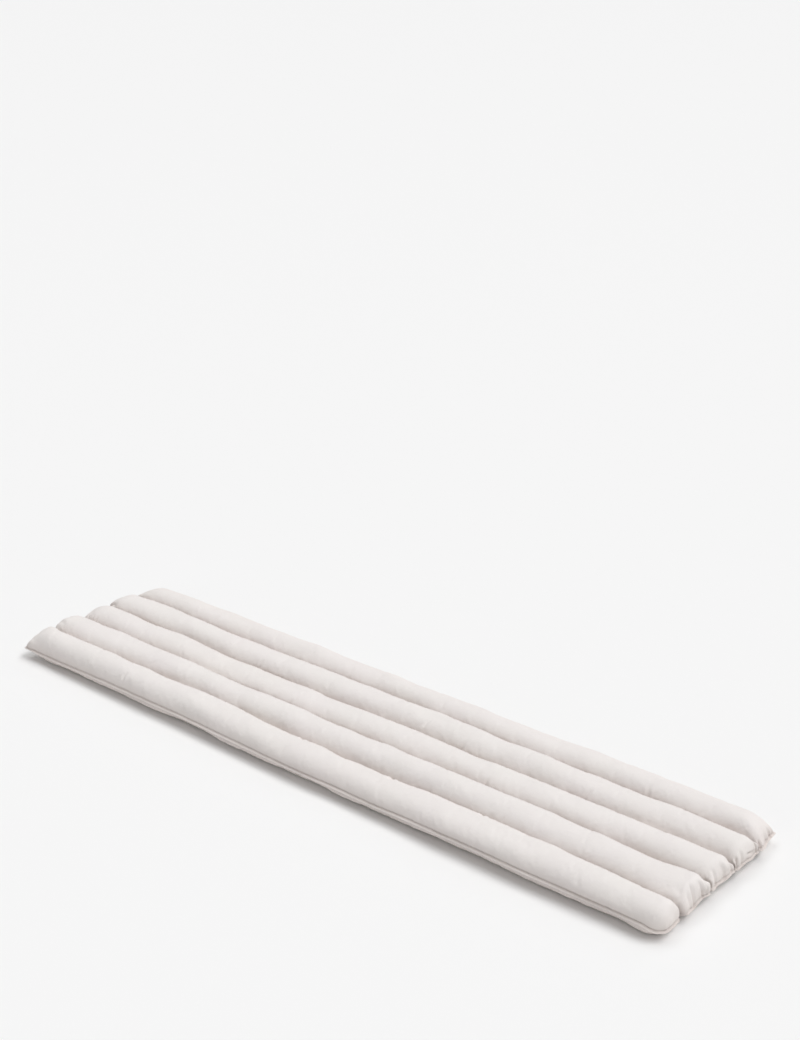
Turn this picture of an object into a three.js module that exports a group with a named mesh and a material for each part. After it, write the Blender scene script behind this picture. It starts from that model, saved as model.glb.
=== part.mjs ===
import * as THREE from 'three';

// A chaise lounge cushion lying on its back: two panels of cloth sewn together all round and sewn
// through along four lengthwise lines, which makes five filled channels. Millimetres, X along the
// length, Y across the width, Z up. The origin is on the surface, under the middle of the cushion.
// Channel 0 is the one on the -Y side and channel 4 the one on the +Y side. Sewn line k lies on the
// -Y side of channel k, so lines 0 and 5 are the edge seam and lines 1 to 4 the channel seams.

const LENGTH = 2100;
const WIDTH = 512;
const CHANNELS = 5;
const PITCH = WIDTH / CHANNELS;

// How far above the surface the two panels lie where a channel seam draws them together.
const CHANNEL_SEAM_TOP = 43;
const CHANNEL_SEAM_UNDER = 33;

// How full a channel is across: 2 gives an ellipse, and more gives fuller shoulders.
const CROWN_POWER = 2.3;
const BELLY_POWER = 2;

// Where the columns of points lie across one channel, as shares of its width. Between the two
// middle ones the underside is pressed flat on the surface.
const COLUMNS = [0, 0.05, 0.15, 0.29, 0.42, 0.58, 0.71, 0.85, 0.95];
const CONTACT_FROM = 0.42;
const CONTACT_TO = 0.58;

// The ends close inside this length, where the stations lie closer together towards the end seam.
// END_STATIONS are shares of it, and MIDDLE_STEPS is how many steps lie between the two end zones.
const END_ZONE = 130;
const END_STATIONS = [0, 0.025, 0.075, 0.16, 0.27, 0.42, 0.66, 1];
const MIDDLE_STEPS = 26;

// The length over which the underside comes up to the end seam, and the roundness of that curve.
const UNDER_CLOSES = 55;
const UNDER_FULL = 2;

// How narrow the notch is where a channel seam draws the end in: more is narrower.
const NOTCH_POWER = 4;

const CLOTH_COLOUR = 0xe6e0dc;
const CLOTH_ROUGHNESS = 0.92;

// Uneven filling along the length, one row a section: how far along it lies, the crest height of
// each channel, the sideways shift of each sewn line from its even place, and the height of the
// edge seam on the two long sides.
const SECTIONS = [
  { along: -920, crest: [84, 82, 79, 80, 72], shift: [8, 1, 3, 2, 2, -12], near: 36, far: 36 },
  { along: -690, crest: [81, 80, 78, 77, 74], shift: [3, 4, 3, 1, 0, -9], near: 36, far: 36 },
  { along: -460, crest: [80, 78, 74, 76, 73], shift: [2, 4, 1, -1, -2, -9], near: 37, far: 36 },
  { along: -230, crest: [76, 78, 75, 79, 73], shift: [2, 1, 0, -1, 1, -9], near: 38, far: 36 },
  { along: 0, crest: [74, 78, 76, 80, 74], shift: [1, -1, 1, 1, 3, -8], near: 39, far: 36 },
  { along: 230, crest: [73, 80, 77, 79, 74], shift: [0, -2, 2, 1, 3, -8], near: 40, far: 36 },
  { along: 460, crest: [74, 79, 77, 79, 73], shift: [-1, -1, 2, 1, 2, -8], near: 41, far: 36 },
  { along: 690, crest: [74, 77, 78, 79, 76], shift: [0, -3, 2, 1, 2, -7], near: 41, far: 36 },
  { along: 920, crest: [72, 77, 78, 80, 76], shift: [8, -7, 3, 2, 4, -7], near: 38, far: 35 },
];

// How each channel closes at its two ends. closes is the length over which the crown comes down to
// the end seam, full is the roundness of that curve (1 a wedge, 2 a round end), and bulge is how far
// the end stands out past a straight line between the ends of its two sewn lines.
const LEFT_ENDS = [
  { closes: 50, full: 1.7, bulge: 0 },
  { closes: 62, full: 2, bulge: 8 },
  { closes: 80, full: 1.7, bulge: 7 },
  { closes: 80, full: 1.7, bulge: 6 },
  { closes: 110, full: 1.9, bulge: 0 },
];
const RIGHT_ENDS = [
  { closes: 46, full: 2.2, bulge: 6 },
  { closes: 70, full: 1.8, bulge: 1 },
  { closes: 70, full: 1.8, bulge: 1 },
  { closes: 65, full: 1.8, bulge: 1 },
  { closes: 100, full: 1.5, bulge: 0 },
];

// Where each sewn line runs out at the two ends: how far past the even length, and how high.
const LEFT_RUNS_OUT = [
  { past: 5, height: 30 },
  { past: -5, height: 56 },
  { past: -8, height: 36 },
  { past: -10, height: 34 },
  { past: -16, height: 34 },
  { past: -36, height: 32 },
];
const RIGHT_RUNS_OUT = [
  { past: -24, height: 31 },
  { past: -21, height: 26 },
  { past: -5, height: 33 },
  { past: 2, height: 32 },
  { past: 7, height: 32 },
  { past: -2, height: 24 },
];

// The corners in plan. turn is the radius of a turned corner, and tip is how far a corner that is
// left as a point stands out.
const CORNERS = {
  nearLeft: { turn: 0, tip: 4 },
  farLeft: { turn: 46, tip: 0 },
  nearRight: { turn: 48, tip: 0 },
  farRight: { turn: 0, tip: 3 },
};
const TIP_REACH = 60;

function clamp01(value) {
  return Math.min(1, Math.max(0, value));
}

function mix(from, to, share) {
  return from + (to - from) * share;
}

// A smooth curve through one column of the sections table.
function curveAlong(read) {
  const points = SECTIONS.map((row) => new THREE.Vector3(row.along, read(row), 0));
  const curve = new THREE.CatmullRomCurve3(points, false, 'catmullrom');
  const first = SECTIONS[0].along;
  const span = SECTIONS[SECTIONS.length - 1].along - first;
  return (along) => curve.getPoint(clamp01((along - first) / span)).y;
}

const crestAlong = SECTIONS[0].crest.map((_, k) => curveAlong((row) => row.crest[k]));
const shiftAlong = SECTIONS[0].shift.map((_, k) => curveAlong((row) => row.shift[k]));
const nearSeamAlong = curveAlong((row) => row.near);
const farSeamAlong = curveAlong((row) => row.far);

function lineAcross(line, along) {
  return -WIDTH / 2 + line * PITCH + shiftAlong[line](along);
}

function lineHeight(line, along, channelSeam) {
  if (line === 0) return nearSeamAlong(along);
  if (line === CHANNELS) return farSeamAlong(along);
  return channelSeam;
}

// 0 at a sewn line and 1 in the middle of the channel.
function dome(share) {
  return Math.sqrt(Math.max(0, 1 - Math.abs(2 * share - 1) ** CROWN_POWER));
}

function topHeight(channel, share, along) {
  const low = mix(
    lineHeight(channel, along, CHANNEL_SEAM_TOP),
    lineHeight(channel + 1, along, CHANNEL_SEAM_TOP),
    share,
  );
  return mix(low, crestAlong[channel](along), dome(share));
}

function underHeight(channel, share, along) {
  if (share >= CONTACT_FROM && share <= CONTACT_TO) return 0;
  const before = share < CONTACT_FROM;
  const outwards = before ? 1 - share / CONTACT_FROM : 1 - (1 - share) / (1 - CONTACT_TO);
  const high = lineHeight(before ? channel : channel + 1, along, CHANNEL_SEAM_UNDER);
  return high * (1 - Math.sqrt(1 - outwards ** BELLY_POWER));
}

// The height near an end, where both panels come together in the end seam.
function closedHeight(middle, inwards, channel, share, side, isTop) {
  const ends = side < 0 ? LEFT_ENDS : RIGHT_ENDS;
  const lines = side < 0 ? LEFT_RUNS_OUT : RIGHT_RUNS_OUT;
  const seam = mix(lines[channel].height, lines[channel + 1].height, share);
  const closes = isTop ? ends[channel].closes : UNDER_CLOSES;
  const full = isTop ? ends[channel].full : UNDER_FULL;
  const risen = (1 - (1 - clamp01(inwards / closes)) ** 2) ** (1 / full);
  return mix(seam, middle, risen);
}

// How far the end seam stands out past the even length at this place in a channel's width. It is
// drawn in where a channel seam runs into it, and not at the corners of the cushion.
function endOutline(channel, share, side) {
  const ends = side < 0 ? LEFT_ENDS : RIGHT_ENDS;
  const lines = side < 0 ? LEFT_RUNS_OUT : RIGHT_RUNS_OUT;
  const straight = mix(lines[channel].past, lines[channel + 1].past, share);
  let fromMiddle = 2 * share - 1;
  if (channel === 0) fromMiddle = Math.max(0, fromMiddle);
  if (channel === CHANNELS - 1) fromMiddle = Math.min(0, fromMiddle);
  return straight + ends[channel].bulge * (1 - fromMiddle ** NOTCH_POWER);
}

// Moves a point of the plan near a corner: onto the quarter circle of a turned corner, or outwards
// to the tip of a pointed one. a and b are 1 at the end seam and the long edge, and 0 further in.
function shapeCorner(x, y, side, along, outline) {
  const near = y < 0;
  const names = side < 0 ? ['nearLeft', 'farLeft'] : ['nearRight', 'farRight'];
  const { turn, tip } = CORNERS[names[near ? 0 : 1]];
  const edge = lineAcross(near ? 0 : CHANNELS, along);
  const fromEnd = LENGTH / 2 + outline - side * x;
  const fromEdge = Math.abs(edge - y);
  const reach = turn || TIP_REACH;
  const a = clamp01(1 - fromEnd / reach);
  const b = clamp01(1 - fromEdge / reach);
  if (turn > 0) {
    const back = turn * a * (1 - Math.sqrt(1 - (b * b) / 2));
    const inside = turn * b * (1 - Math.sqrt(1 - (a * a) / 2));
    return [x - side * back, y - Math.sign(y) * inside];
  }
  return [x + side * tip * a * a * b * b, y + Math.sign(y) * tip * a * a * b * b];
}

function surfacePoint(station, column, isTop) {
  const { side, inwards, along } = station;
  const { channel, share } = column;
  const y = mix(lineAcross(channel, along), lineAcross(channel + 1, along), share);
  const middle = isTop ? topHeight(channel, share, along) : underHeight(channel, share, along);
  if (side === 0) return [along, y, middle];
  const outline = endOutline(channel, share, side);
  const x = along + side * outline * (1 - inwards / END_ZONE);
  const z = closedHeight(middle, inwards, channel, share, side, isTop);
  return [...shapeCorner(x, y, side, along, outline), z];
}

// The places along the length where there is a row of points, from the -X end to the +X end.
function stations() {
  const end = (side) => END_STATIONS.map((share) => {
    const inwards = share * END_ZONE;
    return { side, inwards, along: side * (LENGTH / 2 - inwards) };
  });
  const inner = LENGTH / 2 - END_ZONE;
  const middle = [];
  for (let i = 1; i < MIDDLE_STEPS; i += 1) {
    middle.push({ side: 0, along: mix(-inner, inner, i / MIDDLE_STEPS) });
  }
  return [...end(-1), ...middle, ...end(1).reverse()];
}

function columns() {
  const list = [];
  for (let channel = 0; channel < CHANNELS; channel += 1) {
    for (const share of COLUMNS) list.push({ channel, share });
  }
  list.push({ channel: CHANNELS - 1, share: 1 });
  return list;
}

// Both panels on one grid of stations and columns. They share the points of the edge seam.
function cushionGeometry() {
  const rows = stations();
  const cols = columns();
  const positions = [];
  const addPoint = (station, column, isTop) => {
    positions.push(...surfacePoint(station, column, isTop));
    return positions.length / 3 - 1;
  };
  const top = rows.map((row) => cols.map((col) => addPoint(row, col, true)));
  const under = rows.map((row, i) => cols.map((col, j) => {
    const onEdge = i === 0 || i === rows.length - 1 || j === 0 || j === cols.length - 1;
    return onEdge ? top[i][j] : addPoint(row, col, false);
  }));
  const faces = [];
  for (let i = 0; i < rows.length - 1; i += 1) {
    for (let j = 0; j < cols.length - 1; j += 1) {
      const towardsCorner = (i < rows.length / 2) === (j < cols.length / 2);
      addCell(faces, top, i, j, towardsCorner, true);
      addCell(faces, under, i, j, towardsCorner, false);
    }
  }
  const geometry = new THREE.BufferGeometry();
  geometry.setAttribute('position', new THREE.Float32BufferAttribute(positions, 3));
  geometry.setIndex(faces);
  centreInPlan(geometry);
  geometry.computeVertexNormals();
  return geometry;
}

// Two triangles for one cell of a panel. Their shared side runs towards the nearest corner of the
// cushion, so that the cell in that corner keeps one point of its own on each panel.
function addCell(faces, grid, i, j, towardsCorner, facesUp) {
  const [a, b, c, d] = [grid[i][j], grid[i + 1][j], grid[i + 1][j + 1], grid[i][j + 1]];
  const triangles = towardsCorner ? [[a, b, c], [a, c, d]] : [[a, b, d], [b, c, d]];
  for (const [p, q, r] of triangles) faces.push(p, ...(facesUp ? [q, r] : [r, q]));
}

// Puts the origin under the middle of the cushion's outline.
function centreInPlan(geometry) {
  geometry.computeBoundingBox();
  const middle = geometry.boundingBox.getCenter(new THREE.Vector3());
  geometry.translate(-middle.x, -middle.y, 0);
}

function cushion() {
  const cloth = new THREE.MeshStandardMaterial({
    color: CLOTH_COLOUR,
    roughness: CLOTH_ROUGHNESS,
    metalness: 0,
  });
  const mesh = new THREE.Mesh(cushionGeometry(), cloth);
  mesh.name = 'cushion';
  return mesh;
}

const chaiseCushion = new THREE.Group();
chaiseCushion.name = 'chaise_cushion';
chaiseCushion.add(cushion());

export default chaiseCushion;
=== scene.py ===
import math

import bpy
import numpy as np
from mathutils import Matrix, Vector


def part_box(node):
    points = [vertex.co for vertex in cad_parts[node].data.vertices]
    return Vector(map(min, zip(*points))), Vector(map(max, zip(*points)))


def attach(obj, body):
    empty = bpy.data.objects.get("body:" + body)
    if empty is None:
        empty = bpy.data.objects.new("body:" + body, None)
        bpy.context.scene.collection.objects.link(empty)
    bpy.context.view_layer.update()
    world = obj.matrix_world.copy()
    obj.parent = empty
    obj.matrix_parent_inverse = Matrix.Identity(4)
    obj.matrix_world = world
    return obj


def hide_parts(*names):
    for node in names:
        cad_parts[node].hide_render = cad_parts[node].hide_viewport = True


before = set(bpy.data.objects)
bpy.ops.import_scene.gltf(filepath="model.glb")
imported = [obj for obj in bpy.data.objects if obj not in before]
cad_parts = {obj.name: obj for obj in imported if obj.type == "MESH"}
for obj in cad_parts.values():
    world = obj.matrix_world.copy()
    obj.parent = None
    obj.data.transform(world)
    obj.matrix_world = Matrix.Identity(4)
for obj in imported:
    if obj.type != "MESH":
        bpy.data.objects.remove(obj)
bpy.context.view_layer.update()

# A chaise lounge cushion of off-white plain-woven cloth, lying on its back: five padded channels
# side by side, sewn through along four lengthwise lines and closed by one plain edge seam.
# Metres. X runs along the length, Y across the width, Z up. Channel 0 is the one on the -Y side.
# Sewn line k lies on the -Y side of channel k, so lines 0 and 5 are the edge seam.

LENGTH = 2.100
WIDTH = 0.512
CHANNELS = 5
PITCH = WIDTH / CHANNELS

# The section of a channel: how high its sewn lines lie, the share of its width that is flat beside
# them and the share of its rise over which that strip opens, how round it is above and below,
# between which shares of its width it rests, and the share of the columns on each round side there.
SEAM_HEIGHT = 0.038
SEAM_FLAT, FLAT_OPENS = 0.008, 0.06
CROWN_POWER, UNDER_POWER = 2.3, 1.75
CONTACT = (0.42, 0.58)
UNDER_ROUNDED = 0.42

# How a sewn line wanders sideways, and how it rises and falls: how far, and over what length. An
# edge seam has a share of that rise, and the line between two channels a multiple of it.
WANDER = dict(slow=0.0010, slow_apart=0.11, quick=0.0004, quick_apart=0.03)
LINE_RISE = dict(high=0.0012, apart=0.13, on_edge=0.4, on_channel=2)
# Where each kind of unevenness starts its random numbers, and what the under panel adds.
SEEDS = dict(slow=10, quick=20, rise=30, gathers=40, end_wave=60, end_reach=64, scallop=80,
             lumps=1000, under_lumps=50, puckers=3000, end_puckers=4000, under_puckers=5)
# The knots of random numbers along a line and over a surface, and the knots at the origin.
LINE_KNOTS, LINE_ORIGIN = 2048, 1000
SPOT_KNOTS, SPOT_ORIGIN = (800, 60), (400, 8)


def table(names, rows):
    """Rows of values that go by the same names."""
    return [dict(zip(names.split(), row)) for row in rows]


# Uneven filling along the length: where the section lies, the crest height of each channel, the
# sideways shift of each sewn line, and the height of the edge seam on the two long sides.
SECTIONS = table("along crest shift near far", [
    (-0.92, (0.084, 0.080, 0.078, 0.079, 0.072),
     (0.008, 0.001, 0.003, 0.002, 0.002, -0.012), 0.028, 0.036),
    (-0.69, (0.083, 0.082, 0.075, 0.077, 0.074),
     (0.006, 0.004, 0.003, 0.001, 0.000, -0.009), 0.034, 0.036),
    (-0.46, (0.081, 0.078, 0.070, 0.074, 0.073),
     (0.004, 0.004, 0.001, -0.001, -0.002, -0.009), 0.035, 0.036),
    (-0.23, (0.075, 0.078, 0.072, 0.077, 0.073),
     (0.000, 0.001, 0.000, -0.001, 0.001, -0.009), 0.034, 0.036),
    (0.0, (0.074, 0.079, 0.074, 0.079, 0.074),
     (-0.003, -0.001, 0.001, 0.001, 0.003, -0.008), 0.033, 0.036),
    (0.23, (0.075, 0.083, 0.075, 0.079, 0.074),
     (-0.002, -0.002, 0.002, 0.001, 0.003, -0.008), 0.033, 0.036),
    (0.46, (0.078, 0.086, 0.075, 0.079, 0.072),
     (-0.004, -0.001, 0.002, 0.001, 0.002, -0.008), 0.038, 0.036),
    (0.69, (0.081, 0.081, 0.076, 0.077, 0.082),
     (-0.003, -0.003, 0.002, 0.001, 0.002, -0.007), 0.037, 0.036),
    (0.92, (0.077, 0.079, 0.078, 0.077, 0.078),
     (0.003, -0.007, 0.003, 0.002, 0.004, -0.007), 0.034, 0.035),
])

# How each channel closes at its two ends: the length over which the crown comes down beside its
# -Y and its +Y line, how round that curve is, how far past the even length the end reaches at the
# two lines, and how far it stands out between them.
END_ZONE = 0.130
UNDER_CLOSES = {-1: 0.115, 1: 0.070}
UNDER_FULL = 1.2
ENDS = {
    -1: table("closes full past bulge", [
        ((0.106, 0.038), 1.65, (0.005, -0.005), 0.000),
        ((0.044, 0.044), 2.3, (-0.005, -0.008), 0.008),
        ((0.085, 0.060), 1.8, (-0.008, -0.010), 0.007),
        ((0.066, 0.050), 2.1, (-0.010, -0.016), 0.006),
        ((0.090, 0.090), 2.0, (-0.016, -0.036), 0.000),
    ]),
    1: table("closes full past bulge", [
        ((0.044, 0.034), 2.4, (-0.020, -0.026), 0.003),
        ((0.026, 0.036), 2.3, (-0.016, -0.013), -0.003),
        ((0.036, 0.036), 2.2, (-0.012, -0.003), -0.004),
        ((0.034, 0.016), 2.4, (-0.002, 0.005), -0.003),
        ((0.060, 0.080), 1.6, (0.004, -0.008), 0.000),
    ]),
}
# How much sooner the crown comes down beside a sewn line than in the middle of its channel.
SHOULDER = 0.5
# The under panel closes as the top one does at a sewn line, and in its own way from this share of
# the width inwards. It comes to its own columns over this length from the end.
UNDER_MEETS, UNDER_OPENS = 0.12, 0.04

# How high each sewn line is where it meets the end seam, from -Y to +Y. The edge seam of a long
# side runs down to that height over this length, and takes this share of its channel with it.
END_HEIGHTS = {
    -1: (0.028, 0.050, 0.036, 0.039, 0.034, 0.032),
    1: (0.024, 0.023, 0.028, 0.029, 0.028, 0.022),
}
CORNER_FALL, CORNER_SHARE = 0.070, 0.06
# The end seam waves a little up and down and in and out, where the cloth is gathered.
END_WAVE = dict(high=0.0024, out=0.0020, apart=0.020)
# The notch that a channel's sewn line draws into the outline of an end: how far past the even
# length its bottom is, and how wide it is.
NOTCHES = {
    -1: {1: dict(past=-0.014, wide=0.006), 2: dict(past=-0.018, wide=0.006),
         3: dict(past=-0.020, wide=0.006), 4: dict(past=-0.024, wide=0.006)},
    1: {1: dict(past=-0.044, wide=0.0064), 2: dict(past=-0.022, wide=0.0046),
        3: dict(past=-0.010, wide=0.004), 4: dict(past=-0.003, wide=0.004)},
}

# The corners in plan, by end and edge: the radius of a turned one, and the tip of a pointed one.
CORNERS = {
    (-1, 0): dict(turn=0.0, tip=0.0005),
    (-1, 1): dict(turn=0.046, tip=0.0),
    (1, 0): dict(turn=0.053, tip=0.0),
    (1, 1): dict(turn=0.0, tip=0.002),
}
TIP_REACH = 0.060

# Just short of an end a channel's sewn line is pulled down into a pit: how far from the end the
# middle of the pit is, how long it is and how deep, by end and sewn line.
PITS = {
    -1: {1: dict(at=0.018, long=0.012, deep=0.004), 2: dict(at=0.026, long=0.014, deep=0.012),
         3: dict(at=0.024, long=0.012, deep=0.008), 4: dict(at=0.022, long=0.012, deep=0.012)},
    1: {1: dict(at=0.016, long=0.020, deep=0.018), 2: dict(at=0.017, long=0.010, deep=0.024),
        3: dict(at=0.013, long=0.009, deep=0.022), 4: dict(at=0.011, long=0.009, deep=0.016)},
}
# Painted shade darkens the cloth deep in a pit: how far from the sewn line, and from what depth of
# pit in full.
PIT_SHADE = dict(wide=0.015, full=0.014)

# The fine mesh of one channel, the coarser one that the cloth simulation moves, and the one that
# finds the middle of the plan. The rows lie closer together at the ends, and closest over the last
# few millimetres, and the columns closer together at the sewn lines.
FINE_ROWS, FINE_COLUMNS = 690, 65
CLOTH_ROWS, CLOTH_COLUMNS = 290, 18
PLAN_ROWS, PLAN_COLUMNS = 80, 8
END_CROWDING, CROWDING_POWER, END_STEEP = 0.125, 8, 0.004
SEAM_CROWDING = 0.50

# The cloth simulation: how hard the filling presses outwards, how much longer the cloth is than
# the smooth shape and in spots of what size, for how many steps it runs, how far the cloth may
# move, over what length its swelling is evened out and taken off, and how much folding is kept.
FILLING_PRESSURE = 4.0
SPARE_CLOTH = (0.010, 0.050)
GATHERS = dict(long=0.09, wide=0.05)
CLOTH_FRAMES = 20
MOST_MOVE = 0.012
SWELLING_LENGTH = 0.060
FOLD_SHARE = 0.45

# Soft unevenness of the filling: length and width of the lumps, and how high they stand.
LUMPS = [dict(long=0.170, wide=0.070, high=0.0036), dict(long=0.070, wide=0.040, high=0.0021)]
# Over what distance from a sewn line, and from an end, the lumps and all the detail set in.
LUMPS_SET_IN, DETAIL_SETS_IN = (0.022, 0.03), (0.003, 0.002)

# Where the filling pushes the cloth out most at the ends, in plan.
BULGES = table("at long wide high", [
    ((-1.036, -0.236), 0.018, 0.015, 0.006),
    ((-1.022, -0.182), 0.022, 0.020, 0.004),
    ((-1.022, -0.118), 0.026, 0.024, 0.002),
    ((-1.016, 0.084), 0.026, 0.020, 0.003),
    ((1.034, -0.060), 0.006, 0.010, 0.003),
    ((1.006, -0.148), 0.024, 0.009, 0.005),
])

# The edge seam on the long sides and at the ends: the cloth stands out in a narrow lip at the
# seam, and dips just above it.
EDGE_SEAM = {
    "side": dict(lip=0.0040, lip_wide=0.0022, dip=0.0030, dip_at=0.0044, dip_wide=0.0014),
    "end": dict(lip=0.0036, lip_wide=0.0014, dip=0.0028, dip_at=0.0044, dip_wide=0.0020),
}
# How many rows of points near an end look for the edge seam round the corner, and over what length
# of it the side's seam gives way to the end's, and the lip turns to face the end.
CORNER_ROWS = 110
CORNER_MIX, CORNER_TURN = 0.08, 0.05
# Below the seam the edge hangs out a little and falls back again, as the filling is uneven.
SCALLOP = dict(high=0.0040, apart=0.080, at=0.014, wide=0.010)

# Puckers along a sewn line: how high, how far they run out from it, how far apart, and their lean.
PUCKERS = {
    "channel": dict(high=0.0017, reach=0.012, apart=0.014, lean=0.35),
    "end": dict(high=0.0020, reach=0.012, apart=0.013, lean=0.50),
    "edge_top": dict(high=0.0010, reach=0.010, apart=0.015, lean=0.50),
    "edge_under": dict(high=0.0036, reach=0.018, apart=0.013, lean=0.90),
}
# Over what length their lean and their patches change, and how far from the line they set in.
PUCKER_LEANS, PUCKER_PATCHES, PUCKERS_SET_IN = 0.09, 0.13, 0.002

# A crease has a lip on each side: how high at most, and as a share of the depth, and where it lies
# and how wide it is, in widths of the crease. It starts part of the way into its rise, and comes
# and fades over these shares of its length.
CREASE_LIP = dict(high=0.0012, share=0.4, at=2.1, wide=0.9)
CREASE_RUN = dict(starts=0.25, comes=0.2, fades=0.6)
# The larger creases of the top panel, in plan: where each starts and stops, how far it bows
# sideways, how wide and how deep it is. The first ones are at the +X end, roughly from -Y to +Y.
CREASES = table("start stop bow wide deep", [
    ((1.040, -0.1545), (1.004, -0.1570), 0.000, 0.0038, 0.0180),
    ((1.034, -0.1290), (1.018, -0.1250), 0.001, 0.0046, 0.0016),
    ((1.038, -0.1100), (1.012, -0.1020), 0.004, 0.0034, 0.0066),
    ((1.040, -0.0740), (1.018, -0.0860), -0.002, 0.0030, 0.0058),
    ((1.040, -0.0640), (1.030, -0.0640), 0.000, 0.0026, 0.0026),
    ((1.036, -0.0430), (1.010, -0.0400), 0.001, 0.0040, 0.0160),
    ((1.044, -0.0470), (1.026, -0.0460), 0.000, 0.0028, 0.0090),
    ((1.042, -0.0240), (1.018, -0.0180), -0.002, 0.0042, 0.0044),
    ((1.044, 0.0180), (1.022, 0.0080), 0.003, 0.0046, 0.0044),
    ((1.048, 0.0400), (1.030, 0.0420), 0.000, 0.0034, 0.0030),
    ((1.048, 0.0560), (1.026, 0.0620), 0.001, 0.0032, 0.0120),
    ((1.050, 0.0650), (1.032, 0.0700), 0.000, 0.0028, 0.0090),
    ((1.049, 0.0860), (1.034, 0.0840), 0.000, 0.0034, 0.0036),
    ((1.054, 0.1480), (1.038, 0.1420), 0.000, 0.0026, 0.0070),
    ((1.056, 0.1590), (1.038, 0.1620), 0.000, 0.0030, 0.0100),
    ((1.058, 0.1700), (1.038, 0.1770), 0.001, 0.0032, 0.0080),
    ((1.056, 0.2080), (1.036, 0.2020), 0.000, 0.0040, 0.0036),
    ((1.054, 0.2340), (1.032, 0.2180), 0.001, 0.0034, 0.0060),
    ((1.052, 0.2420), (1.024, 0.2360), 0.000, 0.0034, 0.0040),
    # These are at the -X end, from -Y to +Y.
    ((-1.042, -0.2300), (-1.016, -0.2180), 0.000, 0.0050, 0.0020),
    ((-1.040, -0.1900), (-1.006, -0.1820), 0.003, 0.0050, 0.0020),
    ((-1.036, -0.1620), (-1.014, -0.1600), 0.000, 0.0040, 0.0040),
    ((-1.044, -0.1200), (-1.002, -0.1380), 0.004, 0.0050, 0.0020),
    ((-1.046, -0.0960), (-1.020, -0.0940), 0.001, 0.0040, 0.0018),
    ((-1.016, -0.0460), (-1.020, -0.0220), 0.001, 0.0030, 0.0030),
    ((-1.001, -0.0460), (-1.000, -0.0200), -0.001, 0.0028, 0.0032),
    ((-0.984, -0.0460), (-0.980, -0.0260), 0.001, 0.0028, 0.0024),
    ((-1.042, 0.0640), (-1.008, 0.0690), 0.002, 0.0030, 0.0060),
    ((-1.036, 0.1600), (-1.002, 0.1660), 0.001, 0.0040, 0.0024),
    # These are small nicks and dents along the length.
    ((-0.061, -0.1560), (-0.056, -0.1860), 0.002, 0.0050, 0.0042),
    ((0.233, -0.1560), (0.240, -0.1840), -0.002, 0.0050, 0.0038),
    ((0.504, -0.1560), (0.498, -0.1800), 0.001, 0.0050, 0.0036),
    ((0.148, 0.0700), (0.162, 0.1040), 0.003, 0.0042, 0.0028),
    ((0.270, 0.0540), (0.284, 0.0800), -0.002, 0.0042, 0.0028),
    ((0.642, 0.0560), (0.656, 0.0880), 0.002, 0.0042, 0.0028),
    ((-0.652, -0.2380), (-0.644, -0.2120), 0.002, 0.0042, 0.0030),
    ((-0.420, 0.0560), (-0.412, 0.0820), 0.002, 0.0045, 0.0024),
    ((-0.220, -0.0500), (-0.212, -0.0260), -0.002, 0.0045, 0.0026),
    ((0.420, -0.0480), (0.430, -0.0200), 0.002, 0.0045, 0.0026),
    ((0.760, 0.1560), (0.752, 0.1860), 0.002, 0.0045, 0.0024),
])

# Folds that run across the steep end face of a channel: at which end, from where to where across,
# how far above the end seam at each, measured over the cloth, and how wide and how deep.
TUCKS = table("side across above wide deep", [
    (1, (0.108, 0.143), (0.021, 0.011), 0.0030, 0.0080),
    (1, (0.012, 0.036), (0.012, 0.018), 0.0034, 0.0030),
    (1, (-0.084, -0.060), (0.016, 0.012), 0.0034, 0.0030),
    (-1, (-0.100, -0.070), (0.012, 0.020), 0.0034, 0.0024),
])

# The stitches of the channel seams: how far apart, how long and how thick, and how far from the
# ends they stop. Three rings of points make one: where along it, how high and how thick each is.
STITCH_APART, STITCH_LONG, THREAD_RADIUS = 0.0042, 0.0034, 0.00036
STITCH_END_GAP = 0.012
STITCH_RINGS = ((-0.34, 0.0003, 0.8), (0.0, 0.0006, 1.0), (0.34, 0.0003, 0.8))
STITCH_TIP_RISE = -0.0003

# Threads of the weave: how far apart they lie across and along the channels. Then how deep the
# weave, the crinkles and the finest unevenness are.
WARP_APART, WEFT_APART = 0.00095, 0.00105
WEAVE_DEEP, CRINKLES_DEEP, FINE_DEEP = 0.00012, 0.0012, 0.00026
# How far each channel's weave lies from the next one's, so that no two have the same spots.
WEAVE_STEP = 0.7
# The cloth's colours: the dark and the pale tone, which carry the painted shade at the sewn lines
# and the painted highlight on the seam's lip, then painted shade in the fold at the edge seam and in
# the pits. Then two faint tints, and what the colour is multiplied by at the floor and from a height
# upwards.
CLOTH_TONES = dict(
    dark_tone=(0.66, 0.605, 0.58, 1), pale_tone=(0.885, 0.849, 0.830, 1), fold=(0.28, 0.24, 0.22, 1),
    pit=(0.09, 0.075, 0.07, 1), pink=(1.0, 0.985, 1.0, 1), green=(0.99, 1.0, 0.985, 1),
    low=(0.985, 0.945, 0.915, 1), high=(1.0, 1.0, 1.0, 1),
)
THREAD_TONES = dict(dark=(0.66, 0.61, 0.58, 1), light=(0.85, 0.81, 0.78, 1))
# How high the warmer, darker tone reaches from the floor.
WARMER_TONE_HEIGHT = 0.075
# How far the painted shade of the greyer tone reaches from a sewn line, the rubbed tone with its
# painted highlight from the edge seam, and the painted shade in the fold from both.
TONE_REACH = dict(line=0.016, rubbed_and_lit=0.003, fold_starts=0.006, fold_ends=0.018, fold=0.006)
# The sizes of the soft spots in tint, tone, crinkles and thread.
SPOTS = dict(tint=0.17, large=0.11, small=0.030, crinkle=0.020, fine=0.006, thread=0.02)
# The twist of the sewing thread: how far apart its turns are along and across it, and how deep.
TWIST_LONG, TWIST_WIDE, TWIST_DEEP = 0.0007, 0.0009, 0.00008
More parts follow.
